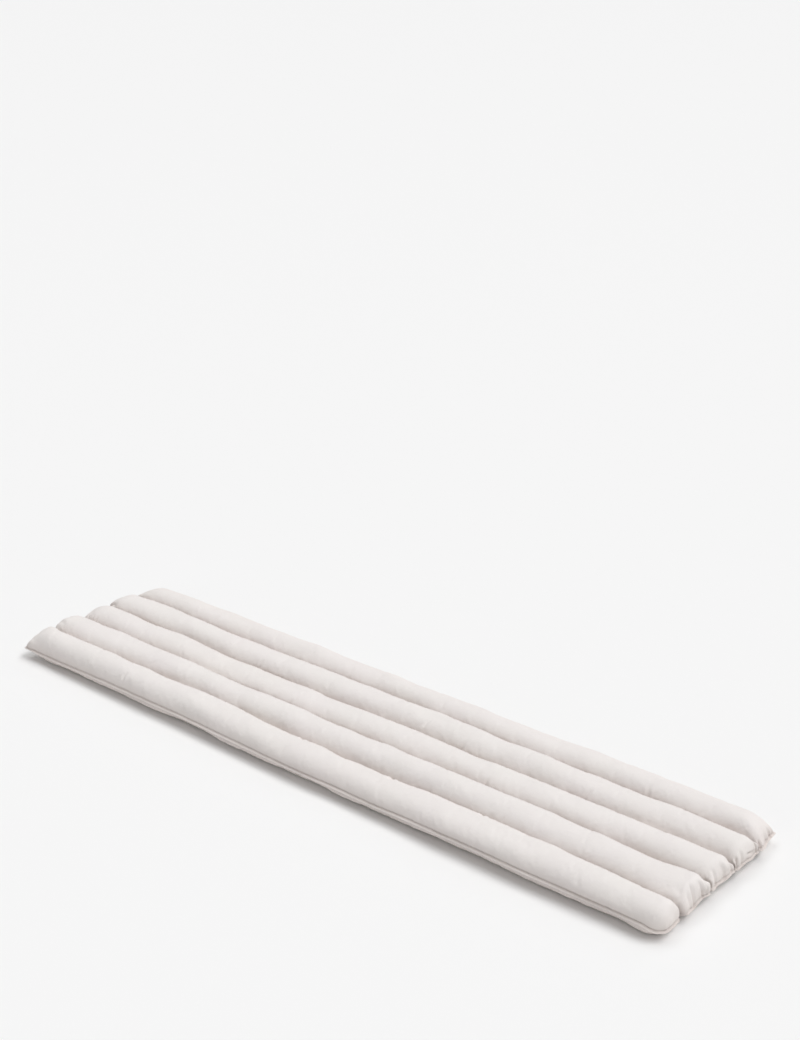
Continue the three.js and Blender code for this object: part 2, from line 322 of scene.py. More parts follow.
# The bake map holds each panel in this many lengths, one above the other, with gaps beside them
# and a margin at their ends.
MAP_LENGTHS, MAP_GAP, MAP_MARGIN = 3, 0.03, 0.004


def clamp01(value):
    return np.clip(value, 0.0, 1.0)


def mix(start, end, share):
    return start + (end - start) * share


def ease(value):
    """0 to 1, with no kink at either end."""
    t = clamp01(value)
    return t * t * (3 - 2 * t)


def bell(value):
    return np.exp(-(value**2))


def through(knots, at):
    """A smooth curve through evenly spaced knots, read at positions counted in knots."""
    knots = np.asarray(knots, float)
    last = len(knots) - 1
    padded = np.concatenate([[2 * knots[0] - knots[1]], knots, [2 * knots[-1] - knots[-2]]])
    at = np.clip(at, 0.0, last)
    step = np.minimum(at.astype(int), last - 1)
    t = (at - step).reshape(at.shape + (1,) * (knots.ndim - 1))
    before, here, ahead, beyond = (padded[step + i] for i in range(4))
    curve = 2 * here + (ahead - before) * t
    curve = curve + (2 * before - 5 * here + 4 * ahead - beyond) * t**2
    return 0.5 * (curve + (3 * here - before - 3 * ahead + beyond) * t**3)


def along_curve(read, along):
    first, last = SECTIONS[0]["along"], SECTIONS[-1]["along"]
    at = (np.asarray(along, float) - first) / (last - first) * (len(SECTIONS) - 1)
    return through([read(row) for row in SECTIONS], at)


def uneven(seed, along, wavelength):
    """Smooth random unevenness along a line, between about -1 and 1."""
    knots = np.random.default_rng(seed).uniform(-1, 1, LINE_KNOTS)
    return through(knots, np.asarray(along, float) / wavelength + LINE_ORIGIN)


def mottled(seed, along, across, long, wide):
    """Smooth random unevenness over a surface, as soft spots of the given length and width."""
    knots = np.random.default_rng(seed).uniform(-1, 1, SPOT_KNOTS)
    at_long = np.clip(along / long + SPOT_ORIGIN[0], 1, SPOT_KNOTS[0] - 2)
    at_wide = np.clip(across / wide + SPOT_ORIGIN[1], 1, SPOT_KNOTS[1] - 2)
    i, j = at_long.astype(int), at_wide.astype(int)
    s, t = ease(at_long - i), ease(at_wide - j)
    first = mix(knots[i, j], knots[i + 1, j], s)
    return mix(first, mix(knots[i, j + 1], knots[i + 1, j + 1], s), t)


def line_across(line, along):
    """Where a sewn line lies across the cushion."""
    slow = WANDER["slow"] * uneven(SEEDS["slow"] + line, along, WANDER["slow_apart"])
    quick = WANDER["quick"] * uneven(SEEDS["quick"] + line, along, WANDER["quick_apart"])
    shift = along_curve(lambda row: row["shift"][line], along)
    return -WIDTH / 2 + line * PITCH + shift + (slow + quick)


def line_height(line, along):
    """How high a sewn line lies."""
    rise = LINE_RISE["high"] * uneven(SEEDS["rise"] + line, along, LINE_RISE["apart"])
    if line in (0, CHANNELS):
        edge = "far" if line else "near"
        return along_curve(lambda row: row[edge], along) + LINE_RISE["on_edge"] * rise
    height = SEAM_HEIGHT + LINE_RISE["on_channel"] * rise
    for side in (-1, 1):
        pit = PITS[side][line]
        inwards = LENGTH / 2 - side * along
        height = height - pit["deep"] * bell((inwards - pit["at"]) / pit["long"])
    return height


def spread_columns(count, crowding):
    """Even steps from 0 to 1 across a channel, moved closer to its two sewn lines."""
    s = np.linspace(0, 1, count + 1)
    return s - crowding * np.sin(2 * np.pi * s) / (2 * np.pi)


def top_columns(s):
    """The share of the width and of the rise that the top panel has reached after its round s."""
    c, out = np.cos(np.pi * s), np.sin(np.pi * s)
    share = 0.5 - 0.5 * np.sign(c) * np.abs(c) ** (2 / CROWN_POWER)
    stitched = SEAM_FLAT * clamp01(out / FLAT_OPENS)
    return mix(stitched, 1 - stitched, share), out


def under_columns(s):
    """The share of the width and of the rise of the under panel, which is flat where it lies."""
    rounded = UNDER_ROUNDED
    turn = 0.5 * np.pi * clamp01(1 - np.minimum(s, 1 - s) / rounded)
    inwards = CONTACT[0] * (1 - np.sin(turn) ** (2 / UNDER_POWER))
    resting = mix(CONTACT[0], CONTACT[1], clamp01((s - rounded) / (1 - 2 * rounded)))
    share = np.where(s < rounded, inwards, np.where(s > 1 - rounded, 1 - inwards, resting))
    return share, 1 - np.cos(turn) ** (2 / UNDER_POWER)


def row_places(count, crowding):
    """The places along the length where a panel has a row of points, closer together at the ends."""
    q = np.linspace(-1, 1, count + 1)
    place = 0.5 * LENGTH * ((1 + crowding) * q - crowding * q * np.abs(q) ** CROWDING_POWER)
    inwards = np.maximum(LENGTH / 2 - np.abs(place), 0)
    # The cloth is steepest right at the end seam, so the last rows lie closer still.
    return np.sign(place) * (LENGTH / 2 - inwards * np.sqrt(clamp01(inwards / END_STEEP)))


def end_outline(channel, share, side):
    """How far past the even length the end of a channel reaches, across its width."""
    row = ENDS[side][channel]
    off = 2 * share - 1
    if channel == 0:
        off = np.maximum(0, off)
    if channel == CHANNELS - 1:
        off = np.minimum(0, off)
    outline = mix(*row["past"], share) + row["bulge"] * (1 - off**4)
    for line, away in ((channel, share), (channel + 1, 1 - share)):
        if line in NOTCHES[side]:
            notch = NOTCHES[side][line]
            outline = mix(outline, notch["past"], bell(away * PITCH / notch["wide"]))
    return outline


def closing_length(channel, share, side):
    """The length over which the crown comes down to the end seam, shorter beside a sewn line."""
    beside = np.abs(2 * share - 1) ** 3
    if channel == 0:
        beside = beside * ease(share / 0.5)
    if channel == CHANNELS - 1:
        beside = beside * ease((1 - share) / 0.5)
    return mix(*ENDS[side][channel]["closes"], share) * (1 - SHOULDER * beside)


def rounded_rise(share, full):
    """0 at the end seam and 1 where the crown is whole, the rounder the fuller it is."""
    return (1 - (1 - clamp01(share)) ** 2) ** (1 / full)


def closed_height(middle, inwards, channel, share, y, side, is_top):
    """The height of a panel near an end, where it comes down from its middle to the end seam."""
    wave = END_WAVE["high"] * uneven(SEEDS["end_wave"] + side, y, END_WAVE["apart"])
    seam = mix(*END_HEIGHTS[side][channel : channel + 2], share) + wave
    closes = closing_length(channel, share, side)
    risen = rounded_rise(inwards / closes, ENDS[side][channel]["full"])
    if not is_top:
        # The under panel closes in its own way, but meets the top one along the sewn lines.
        own = rounded_rise(inwards / UNDER_CLOSES[side], UNDER_FULL)
        risen = mix(risen, own, ease(np.minimum(share, 1 - share) / UNDER_MEETS))
    for own_channel, from_edge in ((0, share), (CHANNELS - 1, 1 - share)):
        if channel == own_channel:
            risen = mix(ease(inwards / CORNER_FALL), risen, ease(from_edge / CORNER_SHARE))
    return mix(seam, middle, risen)


def shape_corner(x, y, side, edge, edge_line, outline):
    """Draws the plan in near a corner: onto a quarter circle, or outwards to a tip."""
    corner = CORNERS[(side, edge)]
    reach = corner["turn"] or TIP_REACH
    a = clamp01(1 - (LENGTH / 2 + outline - side * x) / reach)
    b = clamp01(1 - np.abs(edge_line - y) / reach)
    out = 1 if edge else -1
    if corner["turn"]:
        back = reach * a * (1 - np.sqrt(1 - b * b / 2))
        inside = reach * b * (1 - np.sqrt(1 - a * a / 2))
        return x - side * back, y - out * inside
    stands = corner["tip"] * a * a * b * b
    return x + side * stands, y + out * stands


def smooth_panel(channel, along, s, is_top):
    """The smooth shape of one panel of one channel, as rows of points."""
    along, s = along[:, None], s[None, :]
    share, out = top_columns(s)
    if not is_top:
        # At the ends the under panel keeps to the columns of the top one, so that the two meet.
        own_share, out = under_columns(s)
        share = mix(share, own_share, ease((LENGTH / 2 - np.abs(along)) / UNDER_OPENS))
    low_line, high_line = line_across(channel, along), line_across(channel + 1, along)
    y = mix(low_line, high_line, share)
    x = np.broadcast_to(along, y.shape)
    low, high = line_height(channel, along), line_height(channel + 1, along)
    if is_top:
        crest = along_curve(lambda row: row["crest"][channel], along)
        z = mix(mix(low, high, share), crest, out)
    else:
        z = np.where(s < 0.5, low, high) * out
    for side in (-1, 1):
        inwards = LENGTH / 2 - side * along
        near_end = inwards < END_ZONE
        outline = end_outline(channel, share, side)
        outline = outline + END_WAVE["out"] * uneven(SEEDS["end_reach"] + side, y, END_WAVE["apart"])
        moved = x + side * outline * clamp01(1 - inwards / END_ZONE)
        closed = closed_height(z, inwards, channel, share, y, side, is_top)
        x, z = np.where(near_end, moved, x), np.where(near_end, closed, z)
        for edge, own in ((0, 0), (1, CHANNELS - 1)):
            if channel == own:
                edge_line = high_line if edge else low_line
                cx, cy = shape_corner(x, y, side, edge, edge_line, outline)
                x, y = np.where(near_end, cx, x), np.where(near_end, cy, y)
    return np.stack([x, y, z], -1)


def both_panels(channel, rows, columns, row_crowding, seam_crowding):
    along, s = row_places(rows, row_crowding), spread_columns(columns, seam_crowding)
    return along, s, [smooth_panel(channel, along, s, is_top) for is_top in (True, False)]


def quads(grid, is_top):
    """The four corners of each quad of a panel, going round so that the quad faces outwards."""
    corners = (grid[:-1, :-1], grid[1:, :-1], grid[1:, 1:], grid[:-1, 1:])
    order = (0, 1, 2, 3) if is_top else (0, 3, 2, 1)
    return np.stack([corners[i] for i in order], 2).reshape(-1, 4, *grid.shape[2:])


def closed_faces(rows, columns):
    """Quads of a top and an under panel that share the points of the sewn lines all round."""
    top = np.arange(rows * columns).reshape(rows, columns)
    under = top.copy()
    inner = (rows - 2) * (columns - 2)
    under[1:-1, 1:-1] = rows * columns + np.arange(inner).reshape(rows - 2, columns - 2)
    return top, under, np.concatenate([quads(top, True), quads(under, False)])


def closed_values(top, under):
    """One value for each point of a closed channel, from a grid for each panel."""
    shape = (-1, *top.shape[2:])
    return np.concatenate([top.reshape(shape), under[1:-1, 1:-1].reshape(shape)])


def make_mesh(name, points, faces):
    mesh = bpy.data.meshes.new(name)
    corners = faces.shape[1]
    mesh.vertices.add(len(points))
    mesh.vertices.foreach_set("co", np.asarray(points, np.float32).ravel())
    mesh.loops.add(faces.size)
    mesh.loops.foreach_set("vertex_index", faces.astype(np.int32).ravel())
    mesh.polygons.add(len(faces))
    mesh.polygons.foreach_set("loop_start", np.arange(0, faces.size, corners, dtype=np.int32))
    mesh.update(calc_edges=True)
    mesh.shade_smooth()
    piece = bpy.data.objects.new(name, mesh)
    bpy.context.scene.collection.objects.link(piece)
    return piece


def hang_cloth(channel):
    """The coarse mesh of one channel with its cloth settings, and what is needed to read it back."""
    _, _, (top, under) = both_panels(channel, CLOTH_ROWS, CLOTH_COLUMNS, 0.0, 0.0)
    top_ids, under_ids, faces = closed_faces(*top.shape[:2])
    points = closed_values(top, under)
    piece = make_mesh(f"cloth_{channel}", points, faces)
    sewn = np.unique(np.concatenate([top_ids[:, 0], top_ids[:, -1], top_ids[0], top_ids[-1]]))
    piece.vertex_groups.new(name="sewn").add(sewn.tolist(), 1.0, "ADD")
    gathered = piece.vertex_groups.new(name="gathered")
    around = points[:, 1] + points[:, 2]
    amount = 0.5 + 0.5 * mottled(SEEDS["gathers"] + channel, points[:, 0], around, **GATHERS)
    levels = np.round(10 * clamp01(amount)).astype(int)
    for level in range(1, 11):
        gathered.add(np.flatnonzero(levels == level).tolist(), level / 10, "ADD")
    modifier = piece.modifiers.new("cloth", "CLOTH")
    cloth = modifier.settings
    cloth.quality = 4
    cloth.mass = 0.3
    cloth.tension_stiffness = cloth.compression_stiffness = 15
    cloth.shear_stiffness = 5
    cloth.bending_stiffness = 0.3
    cloth.vertex_group_mass = "sewn"
    cloth.vertex_group_shrink = "gathered"
    cloth.shrink_min, cloth.shrink_max = (-share for share in SPARE_CLOTH)
    cloth.use_pressure = True
    cloth.uniform_pressure_force = FILLING_PRESSURE
    cloth.effector_weights.gravity = 0
    modifier.collision_settings.use_collision = False
    return dict(piece=piece, ids=(top_ids, under_ids), points=points)


def folds_of(moved, ids):
    """What the cloth moved, without its even swelling, as one grid for each panel."""
    length = np.linalg.norm(moved, axis=1, keepdims=True)
    moved = moved * (MOST_MOVE * np.tanh(length / MOST_MOVE) / np.maximum(length, 1e-9))
    reach = int(3 * SWELLING_LENGTH / LENGTH * CLOTH_ROWS)
    steps = np.arange(-reach, reach + 1) * LENGTH / CLOTH_ROWS
    weights = np.exp(-0.5 * (steps / SWELLING_LENGTH) ** 2)
    grids = []
    for grid_ids in ids:
        grid = moved[grid_ids]
        padded = np.pad(grid, ((reach, reach), (0, 0), (0, 0)), mode="edge")
        swelling = sum(w * padded[i : i + len(grid)] for i, w in enumerate(weights / weights.sum()))
        grids.append(grid - swelling)
    return grids


def simulate_cloth():
    """Blows all the channels up from inside while their sewn lines hold, and returns their folds."""
    hung = [hang_cloth(channel) for channel in range(CHANNELS)]
    scene = bpy.context.scene
    for step in range(1, CLOTH_FRAMES + 1):
        scene.frame_set(step)
    graph = bpy.context.evaluated_depsgraph_get()
    folds = []
    for cloth in hung:
        mesh = cloth["piece"].evaluated_get(graph).data
        settled = np.empty(len(mesh.vertices) * 3, np.float32)
        mesh.vertices.foreach_get("co", settled)
        moved = settled.reshape(-1, 3).astype(float) - cloth["points"]
        folds.append(folds_of(moved, cloth["ids"]))
    for cloth in hung:
        mesh = cloth["piece"].data
        bpy.data.objects.remove(cloth["piece"])
        bpy.data.meshes.remove(mesh)
    scene.frame_set(1)
    return folds


def on_fine_grid(folds, along, s):
    """The folds of one panel, read where the fine mesh has its points."""
    rows = (along / LENGTH + 0.5) * CLOTH_ROWS
    by_rows = through(folds, rows)
    return np.swapaxes(through(np.swapaxes(by_rows, 0, 1), s * CLOTH_COLUMNS), 0, 1)


def steps_along(points, axis):
    """The length of cloth from the first row or column of a panel to each of its points."""
    gaps = np.linalg.norm(np.diff(points, axis=axis), axis=-1)
    start = np.zeros_like(np.take(gaps, [0], axis=axis))
    return np.cumsum(np.concatenate([start, gaps], axis=axis), axis=axis)


def measured(points):
    """The length of cloth from each point of a panel to its two ends and to its two sewn lines."""
    down, back = steps_along(points, 0), steps_along(points, 1)
    return (down, down[-1:] - down), (back, back[:, -1:] - back)


def unit(vectors):
    """The same directions, one metre long."""
    return vectors / np.maximum(np.linalg.norm(vectors, axis=-1, keepdims=True), 1e-12)


def outwards(points, is_top):
    """The direction that each point of a panel faces."""
    across = np.cross(np.gradient(points, axis=0), np.gradient(points, axis=1))
    return unit(across) * (1 if is_top else -1)


def puckers(seed, along, away, kind):
    """Small folds that run out from a sewn line: narrow troughs between rounder ridges."""
    size = PUCKERS[kind]
    lean = size["lean"] * (0.4 + uneven(seed, along, PUCKER_LEANS))
    wave = np.abs(uneven(seed + 1, along + lean * away, size["apart"]))
    patchy = 0.35 + 0.65 * ease(0.5 + 0.9 * uneven(seed + 2, along, PUCKER_PATCHES))
    fades = np.exp(-away / (size["reach"] * patchy)) * (1 - np.exp(-away / PUCKERS_SET_IN))
    return size["high"] * patchy * fades * (0.4 - (1 - clamp01(wave)) ** 3)


def plan_normals(line, turn):
    """The directions at right angles to a line of points, in plan."""
    tangent = unit(np.gradient(line[:, :2], axis=0))
    return np.stack([-turn * tangent[:, 1], turn * tangent[:, 0], np.zeros(len(line))], -1)


def around_corner(points, zone, side, column):
    """The edge seam seen from the points near a corner: how far, how much of it end, and facing."""
    end_row = points[0 if side < 0 else -1]
    line = points[zone, column]
    across = end_row if column else end_row[::-1]
    outline = np.concatenate([across, (line[::-1] if side > 0 else line)[1:]])
    steps = steps_along(outline, 0)
    past_corner = steps - steps[len(end_row) - 1]
    end_share = 1 - ease(0.5 + past_corner / CORNER_MIX)
    square = np.array([side, 0.0, 0.0])
    turned = ease((past_corner + CORNER_MIX) / CORNER_TURN)[:, None]
    facing = mix(square, plan_normals(outline, -side if column else side), turned)
    gaps = np.linalg.norm(points[zone][:, :, None] - outline, axis=-1)
    nearest = gaps.argmin(-1)
    return gaps.min(-1), end_share[nearest], facing[nearest]


def edge_seen_from(points, channel):
    """For each point of a panel: how far the edge seam is, how much of it is end, and its facing."""
    ends, lines = measured(points)
    away = np.minimum(*ends)
    end_share = np.ones_like(away)
    facing = np.zeros_like(points)
    facing[..., 0] = np.where(ends[1] < ends[0], 1.0, -1.0)
    if channel in (0, CHANNELS - 1):
        column = 0 if channel == 0 else -1
        across = lines[column]
        closer = across < away
        away, end_share = np.where(closer, across, away), np.where(closer, 0.0, end_share)
        side_facing = plan_normals(points[:, column], 1 if column else -1)[:, None]
        facing = np.where(closer[..., None], side_facing, facing)
        for side, zone in ((-1, slice(0, CORNER_ROWS)), (1, slice(-CORNER_ROWS, None))):
            away[zone], end_share[zone], facing[zone] = around_corner(points, zone, side, column)
    return away, end_share, facing


def shape_edges(points, channel, is_top):
    """Presses the lip and the dip of the edge seam into a panel."""
    away, end_share, facing = edge_seen_from(points, channel)
    side, end = EDGE_SEAM["side"], EDGE_SEAM["end"]
    seam = {name: mix(side[name], end[name], end_share) for name in side}
    out = seam["lip"] * bell(away / seam["lip_wide"])
    if is_top:
        out = out - seam["dip"] * bell((away - seam["dip_at"]) / seam["dip_wide"])
    return points + out[..., None] * facing


def crease(points, start, stop, bow, wide, deep):
    """A soft trough with a low lip on each side, along a bowed line in plan."""
    start, stop = np.array(start), np.array(stop)
    run = stop - start
    length = np.linalg.norm(run)
    run = run / length
    off = points[..., :2] - start
    t = clamp01((off @ run) / length)
    sideways = off @ np.array([-run[1], run[0]]) - 4 * bow * t * (1 - t)
    q = np.hypot(sideways, (off @ run) - t * length) / wide
    lips = min(CREASE_LIP["share"] * deep, CREASE_LIP["high"])
    trough = deep * bell(q) - lips * bell((q - CREASE_LIP["at"]) / CREASE_LIP["wide"])
    comes = ease(CREASE_RUN["starts"] + t / CREASE_RUN["comes"])
    return -trough * comes * ease((1 - t) / CREASE_RUN["fades"])


def tuck(across, above, row):
    """How deep a fold lies across the end face, at places so far across and above the end seam."""
    start, stop = row["across"]
    t = clamp01((across - start) / (stop - start))
    trough = row["deep"] * bell((above - mix(*row["above"], t)) / row["wide"])
    return trough * np.sin(np.pi * t) ** 0.7


def surface_detail(points, channel, is_top):
    """Lumps of the filling, puckers along the sewn lines and creases, as a height on the cloth."""
    along, across = points[..., 0], points[..., 1]
    ends, lines = measured(points)
    from_end, to_line = np.minimum(*ends), np.minimum(*lines)
    seed = SEEDS["lumps"] + 100 * channel + (0 if is_top else SEEDS["under_lumps"])
    near_line, near_end = LUMPS_SET_IN
    height = 0
    for number, lump in enumerate(LUMPS):
        spots = mottled(seed + number, along, lines[0], lump["long"], lump["wide"])
        height = height + lump["high"] * spots * ease(to_line / near_line) * ease(from_end / near_end)
    own = 0 if is_top else SEEDS["under_puckers"]
    for line, away in zip((channel, channel + 1), lines):
        on_edge = line in (0, CHANNELS)
        kind = "channel" if not on_edge else "edge_top" if is_top else "edge_under"
        height = height + puckers(SEEDS["puckers"] + 10 * line + own, along, away, kind)
        if on_edge and not is_top:
            hangs = SCALLOP["high"] * uneven(SEEDS["scallop"] + line, along, SCALLOP["apart"])
            height = height + hangs * bell((away - SCALLOP["at"]) / SCALLOP["wide"])
    for side, away in zip((-1, 1), ends):
        height = height + puckers(SEEDS["end_puckers"] + 10 * side + own, across, away, "end")
    if is_top:
        for row in BULGES:
            off = (points[..., :2] - row["at"]) / (row["long"], row["wide"])
            height = height + row["high"] * bell(np.hypot(off[..., 0], off[..., 1]))
        for row in CREASES:
            height = height + crease(points, **row)
        for row in TUCKS:
            height = height - tuck(across, ends[1] if row["side"] > 0 else ends[0], row)
    near_line, near_end = DETAIL_SETS_IN
    return height * (1 - np.exp(-to_line / near_line)) * (1 - np.exp(-from_end / near_end))


def shaped_channel(channel, folds, shift):
    """The finished top and under panel of one channel."""
    along, s, panels = both_panels(channel, FINE_ROWS, FINE_COLUMNS, END_CROWDING, SEAM_CROWDING)
    shaped = []
    for number, points in enumerate(panels):
        is_top = number == 0
        if folds:
            points = points + FOLD_SHARE * on_fine_grid(folds[channel][number], along, s)
        points = points + shift
        height = surface_detail(points, channel, is_top)
        points = points + height[..., None] * outwards(points, is_top)
        points = shape_edges(points, channel, is_top)
        points[..., 2] = np.maximum(points[..., 2], 0)
        shaped.append(points)
    return shaped


def plan_shift():
    """What brings the middle of the cushion's plan to the middle of the frame's."""
    low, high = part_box("cushion")
    size = (PLAN_ROWS, PLAN_COLUMNS, END_CROWDING, 0.0)
    plan = np.array([both_panels(channel, *size)[2] for channel in range(CHANNELS)]).reshape(-1, 3)
    middle = (np.array(low) + np.array(high) - plan.min(0) - plan.max(0)) / 2
    return middle * (1, 1, 0)


def painted_shade_in_pits(points, channel):
    """How much of the painted shade in the pits at the ends of the sewn lines falls on each point."""
    inwards = LENGTH / 2 - np.abs(row_places(FINE_ROWS, END_CROWDING))[:, None]
    lines, half = measured(points)[1], FINE_ROWS // 2
    shade = np.zeros(points.shape[:2])
    for line, away in zip((channel, channel + 1), lines):
        for side, rows in ((-1, slice(0, half)), (1, slice(half, None))):
            if line in PITS[side]:
                pit = PITS[side][line]
                along = bell((inwards[rows] - pit["at"]) / pit["long"])
                here = along * bell(away[rows] / PIT_SHADE["wide"])
                share = min(pit["deep"] / PIT_SHADE["full"], 1)
                shade[rows] = np.maximum(shade[rows], share * here)
    return shade


def mark_cloth(piece, channel, top, under):
    """Writes what the cloth's finish reads: the place in the weave, the seams, the painted pit shade.
    """
    mesh = piece.data
    place, from_line, from_edge, painted_pit_shade, bake = [], [], [], [], []
    rows, columns = top.shape[:2]
    length_rows = (rows - 1) // MAP_LENGTHS
    for number, points in enumerate((top, under)):
        is_top = number == 0
        ends, lines = measured(points)
        across = lines[0] if is_top else -lines[0]
        spot = [points[..., 0], across, np.full(across.shape, WEAVE_STEP * channel)]
        place.append(quads(np.stack(spot, -1), is_top))
        from_line.append(np.minimum(np.minimum(*lines), np.minimum(*ends)))
        from_edge.append(edge_seen_from(points, channel)[0])
        painted_pit_shade.append(painted_shade_in_pits(points, channel))
        row_ids, column_ids = np.mgrid[:rows, :columns]
        row_ids, column_ids = quads(row_ids, is_top), quads(column_ids, is_top)
        length = row_ids.min(1, keepdims=True) // length_rows
        slot = MAP_LENGTHS * number + length
        u = (row_ids - length * length_rows) / length_rows
        v = (slot + MAP_GAP + (1 - 2 * MAP_GAP) * column_ids / (columns - 1)) / (2 * MAP_LENGTHS)
        bake.append(np.stack([MAP_MARGIN + (1 - 2 * MAP_MARGIN) * u, v], -1))
    spots = mesh.attributes.new("cloth_place", "FLOAT_VECTOR", "CORNER")
    spots.data.foreach_set("vector", np.concatenate(place).astype(np.float32).ravel())
    for name, grids in (("from_line", from_line), ("from_edge", from_edge), ("painted_pit_shade", painted_pit_shade)):
        marked = mesh.attributes.new(name, "FLOAT", "POINT")
        marked.data.foreach_set("value", closed_values(*grids).astype(np.float32))
    layer = mesh.uv_layers.new(name="OFBake")
    layer.uv.foreach_set("vector", np.concatenate(bake).astype(np.float32).ravel())


def build_channels():
    """The five filled channels, and the points of the four channel seams between them."""
    folds = simulate_cloth()
    shift = plan_shift()
    pieces, lines = [], []
    for channel in range(CHANNELS):
        top, under = shaped_channel(channel, folds, shift)
        _, _, faces = closed_faces(*top.shape[:2])
        piece = make_mesh(f"channel_{channel + 1}", closed_values(top, under), faces)
        mark_cloth(piece, channel, top, under)
        pieces.append(piece)
        if channel:
            lines.append(top[:, 0])
    return pieces, lines


def stitch_faces():
    """The triangles of one stitch: a tip, three rings of four points, and a tip."""
    faces = []
    for k in range(4):
        ahead = (k + 1) % 4
        faces.append((0, 1 + k, 1 + ahead))
        for ring in (1, 5):
            faces.append((ring + k, ring + 4 + k, ring + 4 + ahead))
            faces.append((ring + k, ring + 4 + ahead, ring + ahead))
        faces.append((13, 9 + ahead, 9 + k))
    return np.array(faces)


def row_of_stitches(line, up):
    """The points of a row of thread stitches along a sewn line, on its upper or lower side."""
    steps = steps_along(line, 0)
    middles = np.arange(STITCH_END_GAP, steps[-1] - STITCH_END_GAP, STITCH_APART)

    def on_line(shift):
        at = middles + shift * STITCH_LONG
        return np.stack([np.interp(at, steps, line[:, i]) for i in range(3)], -1)

    rise = np.array([0.0, 0.0, up])
    side = np.cross(unit(on_line(0.5) - on_line(-0.5)), rise)
    points = [on_line(-0.5) + STITCH_TIP_RISE * rise]
    for shift, height, radius in STITCH_RINGS:
        ring = on_line(shift) + height * rise
        for s, u in ((1, 0), (0, 1), (-1, 0), (0, -1)):
            points.append(ring + THREAD_RADIUS * radius * (s * side + u * rise))
    points.append(on_line(0.5) + STITCH_TIP_RISE * rise)
    return np.stack(points, 1)


def build_stitching(name, lines, up):
    """All the stitches on one side of the four sewn lines, as one piece."""
    stitches = np.concatenate([row_of_stitches(line, up) for line in lines])
    faces = stitch_faces()[None] + stitches.shape[1] * np.arange(len(stitches))[:, None, None]
    return make_mesh(name, stitches.reshape(-1, 3), faces.reshape(-1, 3))


class Socket:
    """A socket of a material. Operators add Math nodes to it, and node adds any other node."""

    def __init__(self, tree, socket=None):
        self.tree = tree
        self.socket = socket

    def node(self, kind, settings, inputs, output=0):
        made = self.tree.nodes.new(kind)
        for name, value in settings.items():
            setattr(made, name, value)
        for name, value in inputs.items():
            if isinstance(value, Socket):
                self.tree.links.new(value.socket, made.inputs[name])
            else:
                made.inputs[name].default_value = value
        return Socket(self.tree, made.outputs[output])

    def maths(self, operation, *values):
        return self.node("ShaderNodeMath", {"operation": operation}, dict(enumerate(values)))

    def __add__(self, other):
        return self.maths("ADD", self, other)

    def __sub__(self, other):
        return self.maths("SUBTRACT", self, other)

    def __rsub__(self, other):
        return self.maths("SUBTRACT", other, self)

    def __mul__(self, other):
        return self.maths("MULTIPLY", self, other)

    def __mod__(self, other):
        return self.maths("FLOORED_MODULO", self, other)

    def __pow__(self, other):
        return self.maths("POWER", self, other)

    def __rpow__(self, other):
        return self.maths("POWER", other, self)

    __radd__, __rmul__ = __add__, __mul__


def attribute(tree, name, output):
    return Socket(tree).node("ShaderNodeAttribute", {"attribute_name": name}, {}, output)


def part_of(vector, axis):
    return vector.node("ShaderNodeSeparateXYZ", {}, {0: vector}, axis)


def cloudy(vector, size, detail=2.0):
    """Soft random spots of about the given size, from 0 to 1."""
    settings = {"noise_dimensions": "3D"}
    inputs = {"Vector": vector, "Scale": 1 / size, "Detail": detail, "Roughness": 0.5}
    return vector.node("ShaderNodeTexNoise", settings, inputs)


def thread_shades(number, along, layer):
    """A brightness for each thread that changes slowly along it, from 0 to 1."""
    spot = number.node("ShaderNodeCombineXYZ", {}, {0: number * 3.7, 1: along * 14.0, 2: layer})
    return cloudy(spot, 1.0, 1.0)


def blended(first, second, share):
    inputs = {0: share, 6: first, 7: second}
    return share.node("ShaderNodeMix", {"data_type": "RGBA"}, inputs, 2)


def multiplied(first, second):
    settings = {"data_type": "RGBA", "blend_type": "MULTIPLY"}
    return first.node("ShaderNodeMix", settings, {0: 1.0, 6: first, 7: second}, 2)


def fading(distance, reach):
    """1 at a seam, and less the further from it."""
    return math.e ** (distance * (-1 / reach))


def new_material(name):
    material = bpy.data.materials.new(name)
    material.use_nodes = True
    tree = material.node_tree
    return material, tree, tree.nodes["Principled BSDF"]


def finish_with(tree, shader, colour, rough, height):
    """Links what varies over a surface to its shader: the colour, the roughness and the bumps."""
    inputs = {"Strength": 1.0, "Distance": 1.0, "Height": height}
    bumps = height.node("ShaderNodeBump", {}, inputs, "Normal")
    for name, value in {"Base Color": colour, "Roughness": rough, "Normal": bumps}.items():
        tree.links.new(value.socket, shader.inputs[name])


